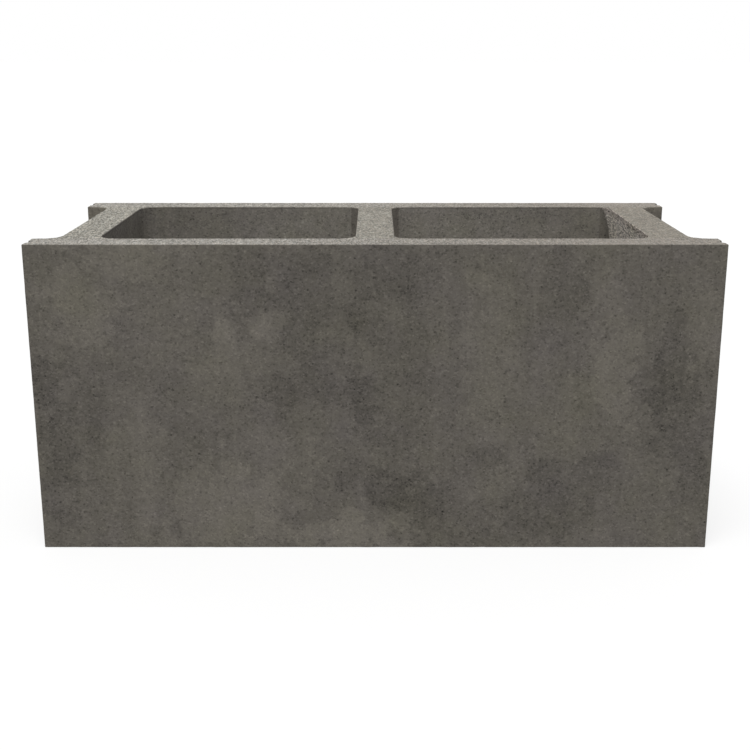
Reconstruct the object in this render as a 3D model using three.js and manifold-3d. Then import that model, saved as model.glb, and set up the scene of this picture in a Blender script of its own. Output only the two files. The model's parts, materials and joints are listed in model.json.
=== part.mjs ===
// A hollow concrete masonry block with two cells, in millimetres, +Z up.
// The origin is the centre of the bottom bed, under the middle web; X runs along the
// block and Y through the wall. It lies as it is laid: the bed with the thicker shells,
// where the mortar is spread, faces up.

import * as THREE from 'three';
import * as BufferGeometryUtils from 'three/addons/utils/BufferGeometryUtils.js';
import Module from 'manifold-3d';

// Overall sizes
const blockLength = 411;
const blockThickness = 190;
const blockHeight = 190;

// Walls, measured at the top bed, where they are thickest
const faceShell = 23;
const middleWeb = 23.7;
const endWeb = 24;

// The cells: the radius of their upright corners at the top bed, and the draft that
// lets the moulding cores draw out, which widens each cell towards the bottom bed
const cellCornerRadius = 11;
const coreDraft = THREE.MathUtils.degToRad(0.8);

// The ends: how deep the recess between the ears is, and the fillet at the ears' roots
const endRecessDepth = 15.7;
const earFilletRadius = 11;

// The upright mortar groove in the end face of each ear
const grooveWidth = 8.5;
const grooveDepth = 2;
const grooveFromFace = 10.2;

// Facets in a quarter or shorter arc are twice this number
const arcSteps = 6;

// How far a core runs past both beds, so that its cut is clean
const coreOverrun = 5;

const halfLength = blockLength / 2;
const halfThickness = blockThickness / 2;
const recessFloor = halfLength - endRecessDepth;
const shellInside = halfThickness - faceShell;

const wasm = await Module();
wasm.setup();

// A closed three.js shape as a solid that can be cut and joined.
function toSolid(geometry) {
  geometry.deleteAttribute('normal');
  geometry.deleteAttribute('uv');
  const merged = BufferGeometryUtils.mergeVertices(geometry);
  return new wasm.Manifold(new wasm.Mesh({
    numProp: 3,
    vertProperties: new Float32Array(merged.attributes.position.array),
    triVerts: new Uint32Array(merged.index.array),
  }));
}

function toGeometry(solid) {
  const mesh = solid.getMesh();
  const geometry = new THREE.BufferGeometry();
  geometry.setAttribute('position', new THREE.BufferAttribute(mesh.vertProperties, mesh.numProp));
  geometry.setIndex(new THREE.BufferAttribute(mesh.triVerts, 1));
  return geometry;
}

// One end of the block in plan, traced from its front corner to its back corner: an ear,
// the recess with a fillet in each corner, and the other ear. side is 1 for the right
// end and -1 for the left, which is the same end turned half round.
function traceEnd(outline, side) {
  const turn = side > 0 ? 0 : Math.PI;
  const hollowArc = (x, y, radius, from, to) => {
    outline.absarc(side * x, side * y, radius, from + turn, to + turn, true);
  };
  const grooveRadius = (grooveWidth ** 2 / 4 + grooveDepth ** 2) / (2 * grooveDepth);
  const grooveAxis = halfLength + grooveRadius - grooveDepth;
  const grooveSweep = Math.asin(grooveWidth / 2 / grooveRadius);
  const filletAxis = recessFloor + earFilletRadius;
  const filletOffset = shellInside - earFilletRadius;
  const grooveOffset = halfThickness - grooveFromFace;

  outline.lineTo(side * halfLength, side * -halfThickness);
  hollowArc(grooveAxis, -grooveOffset, grooveRadius, Math.PI + grooveSweep, Math.PI - grooveSweep);
  outline.lineTo(side * halfLength, side * -shellInside);
  hollowArc(filletAxis, -filletOffset, earFilletRadius, 1.5 * Math.PI, Math.PI);
  hollowArc(filletAxis, filletOffset, earFilletRadius, Math.PI, Math.PI / 2);
  outline.lineTo(side * halfLength, side * shellInside);
  hollowArc(grooveAxis, grooveOffset, grooveRadius, Math.PI + grooveSweep, Math.PI - grooveSweep);
  outline.lineTo(side * halfLength, side * halfThickness);
}

// The whole block without its cells: its plan, raised to its height.
function makeEnvelope() {
  const outline = new THREE.Shape();
  outline.moveTo(-halfLength, -halfThickness);
  traceEnd(outline, 1);
  traceEnd(outline, -1);
  return toSolid(new THREE.ExtrudeGeometry(outline, {
    depth: blockHeight,
    bevelEnabled: false,
    curveSegments: arcSteps,
  }));
}

// A cell's plan at one height. growth is how far the draft has moved its walls out.
function cellOutline(growth) {
  const near = middleWeb / 2 - growth;
  const far = recessFloor - endWeb + growth;
  const side = shellInside + growth;
  const radius = cellCornerRadius + growth;
  const outline = new THREE.Shape();
  outline.absarc(far - radius, side - radius, radius, 0, Math.PI / 2);
  outline.absarc(near + radius, side - radius, radius, Math.PI / 2, Math.PI);
  outline.absarc(near + radius, radius - side, radius, Math.PI, 1.5 * Math.PI);
  outline.absarc(far - radius, radius - side, radius, 1.5 * Math.PI, 2 * Math.PI);
  return outline.getPoints(arcSteps);
}

// A moulding core for the right cell, lofted from the cell's plan below the bottom bed
// to its plan above the top bed.
function makeCore() {
  const rings = [-coreOverrun, blockHeight + coreOverrun].map((height) => {
    const growth = (blockHeight - height) * Math.tan(coreDraft);
    return cellOutline(growth).map((point) => new THREE.Vector3(point.x, point.y, height));
  });
  const count = rings[0].length;
  const faces = [];
  for (let i = 0; i < count; i += 1) {
    const next = (i + 1) % count;
    faces.push(i, next, count + next);
    faces.push(i, count + next, count + i);
  }
  for (const [a, b, c] of THREE.ShapeUtils.triangulateShape(cellOutline(0), [])) {
    faces.push(a, c, b);
    faces.push(count + a, count + b, count + c);
  }
  const geometry = new THREE.BufferGeometry().setFromPoints(rings.flat());
  geometry.setIndex(faces);
  return geometry;
}

const rightCore = makeCore();
const leftCore = rightCore.clone().rotateZ(Math.PI);
const blockSolid = makeEnvelope().subtract(toSolid(rightCore)).subtract(toSolid(leftCore));

const concrete = new THREE.MeshStandardMaterial({
  color: 0x8a877b,
  roughness: 0.95,
  metalness: 0,
});

const block = new THREE.Mesh(toGeometry(blockSolid), concrete);
block.name = 'concrete_block';

const model = new THREE.Group();
model.add(block);

export default model;
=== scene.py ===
# A hollow concrete wall block, standing on a pale studio floor.
# Everything is in metres, with +Z up and the block's origin under its middle web.

import json
import math

import bpy
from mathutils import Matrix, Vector

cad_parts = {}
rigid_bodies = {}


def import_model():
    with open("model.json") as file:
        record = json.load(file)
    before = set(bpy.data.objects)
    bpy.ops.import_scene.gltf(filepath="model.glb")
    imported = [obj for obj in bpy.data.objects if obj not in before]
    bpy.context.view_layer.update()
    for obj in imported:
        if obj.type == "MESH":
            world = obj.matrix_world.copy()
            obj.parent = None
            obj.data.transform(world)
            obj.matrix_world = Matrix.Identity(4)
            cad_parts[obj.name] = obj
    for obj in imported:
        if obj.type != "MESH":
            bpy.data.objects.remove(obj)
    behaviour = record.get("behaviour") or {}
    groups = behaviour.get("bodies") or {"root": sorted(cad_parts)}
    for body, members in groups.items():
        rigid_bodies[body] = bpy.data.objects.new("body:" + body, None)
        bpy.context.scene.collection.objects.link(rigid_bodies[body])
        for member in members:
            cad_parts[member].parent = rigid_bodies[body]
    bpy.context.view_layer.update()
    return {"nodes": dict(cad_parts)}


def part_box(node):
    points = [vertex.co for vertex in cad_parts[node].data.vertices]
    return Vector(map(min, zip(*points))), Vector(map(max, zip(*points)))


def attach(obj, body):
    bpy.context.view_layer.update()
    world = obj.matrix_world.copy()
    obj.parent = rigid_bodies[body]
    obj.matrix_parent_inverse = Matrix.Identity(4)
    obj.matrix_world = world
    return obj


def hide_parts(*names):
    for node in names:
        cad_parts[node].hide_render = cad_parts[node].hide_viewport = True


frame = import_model()


# The camera stands in front of the block on its centre line, a little above its top bed,
# and looks slightly down, so that the front face and the openings of the cells show.
MM = 0.001
picture_width = 750
focal_length_in_pixels = 1200.74
sensor_width = 36
camera_pitch = math.radians(15.4185)
camera_before_face = 691.82 * MM
camera_above_bed = 112.2 * MM

low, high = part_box("concrete_block")

camera_data = bpy.data.cameras.new("camera")
camera_data.sensor_fit = "HORIZONTAL"
camera_data.sensor_width = sensor_width
camera_data.lens = focal_length_in_pixels * sensor_width / picture_width
camera = bpy.data.objects.new("camera", camera_data)
camera.location = (0, low.y - camera_before_face, high.z + camera_above_bed)
camera.rotation_euler = (math.pi / 2 - camera_pitch, 0, 0)
bpy.context.collection.objects.link(camera)
bpy.context.scene.camera = camera


# The block: one piece of grey dry-cast concrete, pressed and vibrated in a steel mould and
# stripped straight upwards, so its sides are dragged smooth while its top bed stays open.
# Its mesh is the moulded solid, with the arrises eased and a skin fine enough for the grain.
arris_width = 0.35 * MM
arris_angle = math.radians(35)
smooth_angle = math.radians(30)
flat_angle = math.radians(0.5)
same_place = 0.01 * MM
shortest_edge = 0.2 * MM
bed_pitch = 1.6 * MM
side_pitch = 6 * MM
rows_by_beds = [1.2 * MM, 2.6 * MM, 5 * MM]
bed_pitting = 0.30 * MM
side_waviness = 0.16 * MM
arris_wear = 0.12 * MM

solid = frame["nodes"]["concrete_block"]
block = bpy.data.objects.new("moulded_block", solid.data.copy())
bpy.context.collection.objects.link(block)
bpy.ops.object.select_all(action="DESELECT")
block.select_set(True)
bpy.context.view_layer.objects.active = block

bpy.ops.object.mode_set(mode="EDIT")
bpy.ops.mesh.select_mode(type="VERT")
bpy.ops.mesh.select_all(action="SELECT")
bpy.ops.mesh.remove_doubles(threshold=same_place)
bpy.ops.mesh.dissolve_limited(angle_limit=flat_angle)
bpy.ops.mesh.select_all(action="DESELECT")
bpy.ops.mesh.select_mode(type="EDGE")
bpy.ops.mesh.edges_select_sharp(sharpness=arris_angle)
bpy.ops.mesh.bevel(offset=arris_width, segments=1, affect="EDGES", clamp_overlap=False)


def even_places(start, end, pitch):
    """Evenly spaced places between start and end, about pitch apart."""
    count = round((end - start) / pitch)
    return [start + (end - start) * i / count for i in range(1, count)]


def cut_across(axis, places):
    """Cuts the whole skin with a plane square to axis at each place."""
    normal = [0, 0, 0]
    normal[axis] = 1
    for place in places:
        bpy.ops.mesh.select_all(action="SELECT")
        point = [place * share for share in normal]
        bpy.ops.mesh.bisect(plane_co=point, plane_no=normal, threshold=same_place)


bpy.ops.mesh.select_mode(type="VERT")
cut_across(0, even_places(low.x, high.x, bed_pitch))
cut_across(1, even_places(low.y, high.y, bed_pitch))
cut_across(2, [low.z + row for row in rows_by_beds])
cut_across(2, [high.z - row for row in rows_by_beds])
cut_across(2, even_places(low.z + rows_by_beds[-1], high.z - rows_by_beds[-1], side_pitch))
bpy.ops.mesh.select_all(action="SELECT")
bpy.ops.mesh.remove_doubles(threshold=shortest_edge)
bpy.ops.mesh.dissolve_degenerate(threshold=shortest_edge)
bpy.ops.object.mode_set(mode="OBJECT")

# How nearly a point's direction lies along an axis, or square to it
along_axis = 0.995
square_to_axis = 0.05


def on_bed(place, direction):
    return abs(direction.z) > along_axis


def on_side(place, direction):
    return not on_bed(place, direction)


def on_arris(place, direction):
    """On a bed's rim, or on an upright corner at the tip of an ear."""
    on_rim = square_to_axis < abs(direction.z) <= along_axis
    at_tip = abs(place.x) > high.x - 0.4 * MM and abs(direction.x) < along_axis
    return on_rim or (at_tip and abs(direction.z) < square_to_axis)


def group_where(name, holds):
    """A vertex group of the points for which holds(place, direction) is true."""
    group = block.vertex_groups.new(name=name)
    points = [v.index for v in block.data.vertices if holds(v.co, v.normal)]
    group.add(points, 1.0, "REPLACE")


def press_in(group, grain, depth, octaves):
    """Sinks a group's points below the moulded surface by a cloud pattern."""
    texture = bpy.data.textures.new(group + "_relief", "CLOUDS")
    texture.noise_scale = grain
    texture.noise_depth = octaves
    relief = block.modifiers.new(texture.name, "DISPLACE")
    relief.texture = texture
    relief.texture_coords = "LOCAL"
    relief.vertex_group = group
    relief.mid_level = 1
    relief.strength = depth
    bpy.ops.object.modifier_apply(modifier=relief.name)


group_where("beds", on_bed)
group_where("arrises", on_arris)
group_where("sides", on_side)
press_in("beds", 2 * MM, bed_pitting, 1)
press_in("sides", 7 * MM, side_waviness, 2)
press_in("arrises", 3 * MM, arris_wear, 2)

# Faces with more than four corners, and those next to them, become well-shaped triangles,
# so that none is a sliver that folds over.
bpy.ops.object.mode_set(mode="EDIT")
bpy.ops.mesh.select_mode(type="FACE")
bpy.ops.mesh.select_all(action="DESELECT")
bpy.ops.mesh.select_face_by_sides(number=4, type="GREATER")
bpy.ops.mesh.select_more()
bpy.ops.mesh.quads_convert_to_tris(quad_method="BEAUTY", ngon_method="BEAUTY")
bpy.ops.object.mode_set(mode="OBJECT")
bpy.ops.object.shade_smooth_by_angle(angle=smooth_angle)


# The concrete's finish: a grey for each part of the skin, made paler or darker by stains,
# mottling and sand. The short functions that follow add its nodes.
concrete = bpy.data.materials.new("grey_concrete")
concrete.use_nodes = True
nodes = concrete.node_tree.nodes
links = concrete.node_tree.links
shader = nodes["Principled BSDF"]


def node(kind, inputs, **settings):
    """Adds a node with its settings, its inputs set to values or linked to sockets."""
    made = nodes.new(kind)
    for name, value in settings.items():
        setattr(made, name, value)
    for name, value in inputs.items():
        if isinstance(value, bpy.types.NodeSocket):
            links.new(value, made.inputs[name])
        else:
            made.inputs[name].default_value = value
    return made


def maths(operation, first, second=0.0):
    return node("ShaderNodeMath", {0: first, 1: second}, operation=operation).outputs[0]


def vector_maths(operation, first, second):
    return node("ShaderNodeVectorMath", {0: first, 1: second}, operation=operation).outputs[0]


def total(*values):
    result = values[0]
    for value in values[1:]:
        result = maths("ADD", result, value)
    return result


def product(*values):
    result = values[0]
    for value in values[1:]:
        result = maths("MULTIPLY", result, value)
    return result


def rise(value, start, end, low_value=0.0, high_value=1.0):
    """A smooth step from low_value to high_value as value goes from start to end."""
    made = node("ShaderNodeMapRange", {
        "Value": value, "From Min": start, "From Max": end,
        "To Min": low_value, "To Max": high_value,
    }, interpolation_type="SMOOTHSTEP")
    return made.outputs["Result"]


def past(value, limit, softness):
    """1 where value is past limit, 0 where it is short of it, with an edge that soft."""
    return rise(value, limit - softness / 2, limit + softness / 2)


def within(value, limit, softness):
    """1 where value is short of limit, 0 where it is past it, with an edge that soft."""
    return rise(value, limit + softness / 2, limit - softness / 2)


def between(share, first, second):
    """A number that is first where share is 0 and second where it is 1."""
    inputs = {"Value": share, "To Min": first, "To Max": second}
    return node("ShaderNodeMapRange", inputs, clamp=False).outputs["Result"]


def blend(share, first, second):
    """A colour that is first where share is 0 and second where it is 1."""
    inputs = {"Factor": share, "A": first, "B": second}
    return node("ShaderNodeMix", inputs, data_type="RGBA").outputs["Result"]


def swing(value, reach):
    """Turns 0 to 1 into -reach to +reach."""
    return between(value, -reach, reach)


def stretched(vector, along_x, along_y, along_z):
    """The place with each axis scaled, which draws a pattern out where the scale is small."""
    return vector_maths("MULTIPLY", vector, (along_x, along_y, along_z))


def clouds(vector, size, detail, roughness):
    made = node("ShaderNodeTexNoise", {
        "Vector": vector, "Scale": 1 / size, "Detail": detail, "Roughness": roughness,
    })
    return made.outputs["Fac"]


def grains(vector, size):
    """A crowd of grains: two random numbers for each, and how far off its middle is."""
    crowd = node("ShaderNodeTexVoronoi", {"Vector": vector, "Scale": 1 / size})
    picked = node("ShaderNodeSeparateColor", {"Color": crowd.outputs["Color"]}).outputs
    return picked["Red"], picked["Green"], crowd.outputs["Distance"]


place = node("ShaderNodeTexCoord", {}).outputs["Object"]
x, y, z = node("ShaderNodeSeparateXYZ", {"Vector": place}).outputs
off_middle_web = maths("ABSOLUTE", x)
off_wall_middle = maths("ABSOLUTE", y)
below_top = maths("SUBTRACT", high.z, z)
facing = node("ShaderNodeNewGeometry", {}).outputs["Normal"]
facing_up = maths("ABSOLUTE", node("ShaderNodeSeparateXYZ", {"Vector": facing}).outputs["Z"])

# The walls at the top bed, and how far from the middle of the block their faces lie
face_shell = 23 * MM
middle_web = 23.7 * MM
end_web = 24 * MM
recess_depth = 15.7 * MM
groove_inset = 10.2 * MM
recess_floor = high.x - recess_depth
cell_start = middle_web / 2
cell_end = recess_floor - end_web
cell_side = high.y - face_shell
groove_middle = high.y - groove_inset

# Where each finish lies. A limit between two faces runs inside the wall that parts them.
off_groove = maths("ABSOLUTE", maths("SUBTRACT", off_wall_middle, groove_middle))
bed = past(facing_up, 0.83, 0.06)
on_front = within(y, low.y + 0.8 * MM, 0.4 * MM)
in_cell = product(
    within(off_middle_web, cell_end + 11.7 * MM, 1 * MM),
    within(off_wall_middle, cell_side + 11.5 * MM, 1 * MM),
)
in_recess = product(
    past(off_middle_web, recess_floor - 0.55 * MM, 0.5 * MM),
    within(off_wall_middle, high.y - 0.7 * MM, 0.6 * MM),
)
# Painted shade: the grooves in the ears are made darker.
in_groove = product(
    past(off_middle_web, high.x - 2.3 * MM, 0.4 * MM),
    within(off_groove, 4 * MM, 0.4 * MM),
)
on_shell = past(off_wall_middle, cell_side - 0.5 * MM, 5 * MM)
on_middle_web = product(
    within(off_middle_web, cell_start + 9.15 * MM, 6 * MM),
    between(on_shell, 1, 0),
)
left_to_right = rise(x, -120 * MM, 160 * MM)

# Cement bloom and damp on the front face. Each stain has its place across and up, its half
# width and half height, all in millimetres, and its strength: 1 is about a quarter paler.
pale_stains = [
    (-175, 155, 23, 28, 0.75), (-143, 184, 32, 14, 0.8), (-124, 142, 22, 32, 0.35),
    (-147, 48, 18, 52, 0.55), (-158, 12, 16, 14, 0.35), (-65, 140, 10, 9, 0.9),
    (-90, 137, 8, 6, 0.9), (-86, 115, 22, 15, 0.5), (-92, 23, 42, 31, 0.85),
    (-70, 68, 10, 8, 0.4), (-13, 9, 36, 13, 1.2), (67, 122, 14, 64, 0.6),
    (88, 112, 12, 26, 0.2), (84, 50, 8, 14, 0.35), (46, 64, 10, 8, 0.3),
    (145, 112, 15, 35, 0.8), (138, 163, 9, 24, 0.3), (197, 148, 10, 20, 0.5),
    (70, 42, 13, 10, 0.5), (138, 9, 8, 7, 0.4), (-50, 60, 27, 15, 0.4),
    (116, 82, 8, 24, 0.4), (180, 24, 8, 20, 0.4),
]
damp_stains = [
    (-195, 107, 12, 20, -0.75), (-174, 91, 13, 31, -0.5), (-191, 62, 13, 42, -0.75),
    (-72, 168, 12, 24, -0.5), (-42, 156, 20, 36, -0.5), (-56, 101, 16, 18, -0.7),
    (-37, 109, 17, 20, -0.6), (-104, 75, 16, 16, -0.3), (-8, 100, 10, 22, -1.0),
    (-8, 151, 10, 26, -0.7), (12, 175, 21, 20, -0.6), (17, 94, 21, 46, -0.35),
    (-16, 48, 13, 12, -0.5), (8, 38, 16, 15, -0.95), (29, 27, 13, 25, -0.75),
    (42, 32, 6, 20, -0.4), (68, 60, 12, 7, -0.6), (70, 8, 28, 10, -0.35),
    (92, 131, 9, 9, -0.35), (103, 42, 15, 16, -0.75), (100, 22, 26, 24, -0.7),
    (118, 54, 14, 5, -0.65), (137, 48, 13, 14, -0.5), (111, 163, 15, 30, -0.45),
    (172, 102, 17, 20, -1.0), (179, 130, 8, 20, -0.6), (187, 106, 12, 17, -0.95),
    (183, 78, 21, 15, -0.55), (192, 48, 9, 34, -0.65), (0, 73, 10, 11, -0.6),
]
stain_depth = 0.27
stain_full_to = 0.68
stain_gone_by = 1.20
tear = swing(clouds(place, 14 * MM, 8, 0.68), 2.2)


def stain(across_mm, up_mm, half_width_mm, half_height_mm, strength):
    """A torn-edged patch on the front face."""
    squeezed = stretched(place, 1 / (half_width_mm * MM), 0, 1 / (half_height_mm * MM))
    middle = (across_mm / half_width_mm, 0, up_mm / half_height_mm)
    offset = vector_maths("SUBTRACT", squeezed, middle)
    distance = node("ShaderNodeVectorMath", {0: offset}, operation="LENGTH").outputs["Value"]
    return rise(total(distance, tear), stain_full_to, stain_gone_by, strength, 0)


def strongest(operation, spots):
    """The strongest of the stains wherever some of them overlap."""
    result = stain(*spots[0])
    for spot in spots[1:]:
        result = maths(operation, result, stain(*spot))
    return result


stained = total(strongest("MAXIMUM", pale_stains), strongest("MINIMUM", damp_stains))

# Mottling of every size, torn blotches where the stains aren't, and the upright drag marks
# that the mould left as the block was stripped.
blotches = swing(rise(clouds(place, 48 * MM, 9, 0.62), 0.46, 0.56), 0.12)
cloudy = swing(clouds(place, 55 * MM, 6, 0.68), 0.40)
mottled = swing(clouds(place, 11 * MM, 4, 0.7), 0.17)
speckled = swing(clouds(place, 3.2 * MM, 3, 0.7), 0.275)
dragged = swing(clouds(stretched(place, 1, 1, 0.04), 7 * MM, 3, 0.6), 0.16)
stained_and_cloudy = total(product(stained, stain_depth), product(cloudy, 0.16))
large = between(on_front, total(blotches, cloudy), stained_and_cloudy)
mottle = total(product(large, between(in_cell, 1, 0.35)), mottled, speckled, dragged)

# Sand: each grain has its own tone and lies a little flat, with dust between, and a few dark
# or pale grains stand out. The beds are more open, and were struck off from front to back,
# which drew their gravel out.
lying_flat = stretched(place, 0.87, 1, 1)
sand = swing(grains(lying_flat, 1.0 * MM)[0], 1)
dust = swing(clouds(lying_flat, 0.9 * MM, 2, 0.6), 0.19)
odd_size, odd_tone, odd_distance = grains(place, 2.8 * MM)
odd_inside = rise(maths("SUBTRACT", odd_distance, product(odd_size, 0.2)), 0.0, 0.12, 1, 0)
odd_grains = product(odd_inside, between(odd_tone, -0.34, 0.33))
grain = total(product(sand, sand, sand, 0.27), dust, odd_grains)
gravel_tone, gravel_hue = grains(stretched(place, 1, 0.3, 1), 0.7 * MM)[:2]
gravel = between(maths("POWER", gravel_tone, 1.4), -0.30, 0.40)

# The right end web was torn a little as its core drew out, so its inside is open and pale,
# while the left one's is smooth and is painted darker, as painted shade. The cells' corners
# and the grooves in the ears are painted darker as painted shade, and a painted dark line
# runs just under the cells' lips.
torn_edge = total(off_wall_middle, maths("MINIMUM", product(below_top, 0.46), 8.8 * MM))
torn_edge = total(torn_edge, swing(clouds(place, 3 * MM, 3, 0.6), 1.2 * MM))
on_torn_web = product(
    in_cell,
    past(x, cell_end - 8.3 * MM, 1 * MM),
    within(torn_edge, cell_side - 2.25 * MM, 0.5 * MM),
)
# Painted shade: the left end web's inside is smooth, and painted darker than the cells' walls.
on_smooth_web = product(in_cell, within(x, -cell_end + 1.05 * MM, 0.5 * MM))
# Painted shade: the cells' inner corners, by the middle web, and their right corners are made
# darker.
in_inner_corner = product(
    in_cell,
    past(off_wall_middle, cell_side - 9 * MM, 6 * MM),
    within(off_middle_web, cell_start + 5.15 * MM, 0.6 * MM),
)
in_right_corner = product(in_cell, past(x, cell_end - 5.2 * MM, 0.6 * MM))
# A painted dark line just under the cells' lips.
under_lip = product(
    in_cell,
    past(below_top, 0.65 * MM, 0.3 * MM),
    within(below_top, 1.6 * MM, 0.4 * MM),
)
torn_grain = swing(grains(stretched(place, 1, 0.22, 1), 0.8 * MM)[0], 0.67)

# Each part of the skin has its own grey, warmer or cooler from place to place. The beds' greys
# are paler than the sides' partly for their open finish and partly as painted light from above,
# and the corner and smooth web greys carry painted shade.
mould_side_shaded_grey = (0.169, 0.155, 0.133, 1)
cell_left_grey = (0.225, 0.209, 0.181, 1)
cell_right_grey = (0.240, 0.223, 0.193, 1)
cell_middle_grey = (0.2755, 0.257, 0.224, 1)
# Painted shade: the corner greys are darker than the cells' walls.
corner_deep_shade_grey = (0.231, 0.211, 0.182, 1)
corner_edge_shade_grey = (0.199, 0.181, 0.156, 1)
right_corner_shade_grey = (0.189, 0.173, 0.148, 1)
# Painted shade: the smooth web's grey is darker than the cells' walls.
smooth_web_shaded_grey = (0.180, 0.167, 0.145, 1)
torn_grey = (0.51, 0.47, 0.42, 1)
torn_rim_grey = (0.415, 0.37, 0.325, 1)
recess_left_grey = (0.189, 0.172, 0.144, 1)
recess_right_grey = (0.173, 0.158, 0.133, 1)
bed_left_lit_grey = (0.322, 0.307, 0.267, 1)
bed_right_lit_grey = (0.275, 0.252, 0.214, 1)

cell_middle = product(past(x, -87.5 * MM, 55 * MM), within(x, 120 * MM, 60 * MM))
cell_ends = blend(left_to_right, cell_left_grey, cell_right_grey)
corner_edge = within(off_middle_web, cell_start + 2.15 * MM, 3 * MM)
torn_rim = within(below_top, 3.5 * MM, 3 * MM)
grey = blend(in_cell, mould_side_shaded_grey, blend(cell_middle, cell_ends, cell_middle_grey))
# Painted shade in the cells' corners.
grey = blend(in_inner_corner, grey, blend(corner_edge, corner_edge_shade_grey, corner_deep_shade_grey))
grey = blend(in_right_corner, grey, right_corner_shade_grey)
# Painted shade on the left end web's inside.
grey = blend(on_smooth_web, grey, smooth_web_shaded_grey)
grey = blend(on_torn_web, grey, blend(torn_rim, torn_grey, torn_rim_grey))
grey = blend(in_recess, grey, blend(left_to_right, recess_left_grey, recess_right_grey))
hue = total(clouds(place, 35 * MM, 5, 0.65), product(stained, on_front, 0.05))
grey = vector_maths("MULTIPLY", grey, blend(hue, (1.02, 1.0, 1.12, 1), (0.98, 1.0, 0.88, 1)))

# Painted light: the beds are paler than the sides partly as painted light from above, partly
# for their open finish.
bed_grey = blend(left_to_right, bed_left_lit_grey, bed_right_lit_grey)
shell_tint = blend(on_shell, (1, 1, 1, 1), (1.0, 0.993, 1.025, 1))
gravel_tint = blend(gravel_hue, (1.03, 1.0, 0.97, 1), (0.97, 1.0, 1.03, 1))
bed_grey = vector_maths("MULTIPLY", vector_maths("MULTIPLY", bed_grey, shell_tint), gravel_tint)
grey = blend(bed, grey, bed_grey)

# The tone makes that grey paler or darker: 1 leaves it as it is.
side_mottle = product(mottle, between(in_cell, 1, 0.98))
side_grain = product(grain, between(on_smooth_web, 1, 1.5), between(in_cell, 1.05, 1.0))
cell_pits = product(in_cell, maths("MINIMUM", total(grain, 0.05), 0), 0.45)
side_grain = total(side_grain, product(torn_grain, on_torn_web), cell_pits)
# Painted light and shade: the cells' walls are darker near the top and paler deeper down,
# against the way the lamp falls into them, with a painted dark line just under the lips.
cell_painted_shade = product(rise(below_top, 0, 26 * MM, 0.93, 1.06), between(under_lip, 1, 0.78))
side_shade = between(product(in_cell, between(on_torn_web, 1, 0)), 1, cell_painted_shade)
# Painted shade darkens the grooves in the ears.
side_shade = product(side_shade, between(in_groove, 1, 0.68))
side_tone = product(total(1, side_mottle, side_grain), side_shade)

bed_wear = product(
    within(off_wall_middle, cell_side - 1 * MM, 6 * MM),
    past(x, -35 * MM, 50 * MM),
)
bed_shade = product(
    between(bed_wear, 1, 0.94),
    rise(y, cell_side - 6 * MM, cell_side + 2 * MM, 1, 1.05),
    between(on_middle_web, 1, 0.97),
)
bed_grain = product(
    total(grain, gravel),
    between(left_to_right, 1.6, 0.88),
    between(on_shell, 1, between(left_to_right, 0.88, 1.01)),
    between(on_middle_web, 1, 0.86),
)
bed_mottling = total(between(left_to_right, 0.55, 0.42), product(on_middle_web, 0.8))
bed_mottle = product(mottle, bed_mottling)
bed_tone = product(total(1, bed_mottle, bed_grain), bed_shade)

tone = between(bed, side_tone, bed_tone)
colour = node("ShaderNodeVectorMath", {0: grey, "Scale": tone}, operation="SCALE").outputs[0]
links.new(colour, shader.inputs["Base Color"])

bump = node("ShaderNodeBump", {"Height": grain, "Distance": 0.35 * MM, "Strength": 0.6})
links.new(bump.outputs["Normal"], shader.inputs["Normal"])
shader.inputs["Roughness"].default_value = 0.95
shader.inputs["Specular IOR Level"].default_value = 0.3

block.data.materials.clear()
block.data.materials.append(concrete)
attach(block, "root")
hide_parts("concrete_block")


# The studio: a pale floor and a white surround, one broad soft lamp high in front, and
# even light from all round. What the camera sees of floor and surround is white.
lamp_strength = 1.84
lamp_from = Vector((-0.06, -0.34, 0.93))
lamp_spread = math.radians(35)
even_light = 0.45
floor_size = 40
floor_shade = 0.35
floor_lift = 0.68


def seen_directly(tree):
    """1 for rays that show the picture itself, straight, mirrored or through glass."""
    path = tree.nodes.new("ShaderNodeLightPath")
    result = path.outputs["Is Camera Ray"]
    for name in ("Is Glossy Ray", "Is Transmission Ray"):
        either = tree.nodes.new("ShaderNodeMath")
        either.operation = "MAXIMUM"
        tree.links.new(result, either.inputs[0])
        tree.links.new(path.outputs[name], either.inputs[1])
        result = either.outputs[0]
    return result


def when_seen(tree, low_value, high_value, socket):
    """Feeds a socket high_value where seen directly, and low_value for light."""
    level = tree.nodes.new("ShaderNodeMapRange")
    level.inputs["To Min"].default_value = low_value
    level.inputs["To Max"].default_value = high_value
    tree.links.new(seen_directly(tree), level.inputs["Value"])
    tree.links.new(level.outputs["Result"], socket)


bpy.ops.mesh.primitive_plane_add(size=floor_size, location=(0, 0, 0))
floor = bpy.context.object
floor.name = "studio_floor"
floor_paint = bpy.data.materials.new("floor_paint")
floor_paint.use_nodes = True
floor_shader = floor_paint.node_tree.nodes["Principled BSDF"]
floor_shader.inputs["Base Color"].default_value = (floor_shade, floor_shade, floor_shade, 1)
floor_shader.inputs["Roughness"].default_value = 1
floor_shader.inputs["Specular IOR Level"].default_value = 0
floor_shader.inputs["Emission Color"].default_value = (1, 1, 1, 1)
when_seen(floor_paint.node_tree, 0, floor_lift, floor_shader.inputs["Emission Strength"])
floor.data.materials.append(floor_paint)

lamp_data = bpy.data.lights.new("studio_lamp", "SUN")
lamp_data.energy = lamp_strength
lamp_data.angle = lamp_spread
lamp = bpy.data.objects.new("studio_lamp", lamp_data)
lamp.rotation_euler = lamp_from.to_track_quat("Z", "Y").to_euler()
bpy.context.collection.objects.link(lamp)

surround = bpy.data.worlds.new("studio_surround")
surround.use_nodes = True
background = surround.node_tree.nodes["Background"]
background.inputs["Color"].default_value = (1, 1, 1, 1)
when_seen(surround.node_tree, even_light, 1, background.inputs["Strength"])
bpy.context.scene.world = surround

bpy.context.scene.view_settings.view_transform = "Standard"
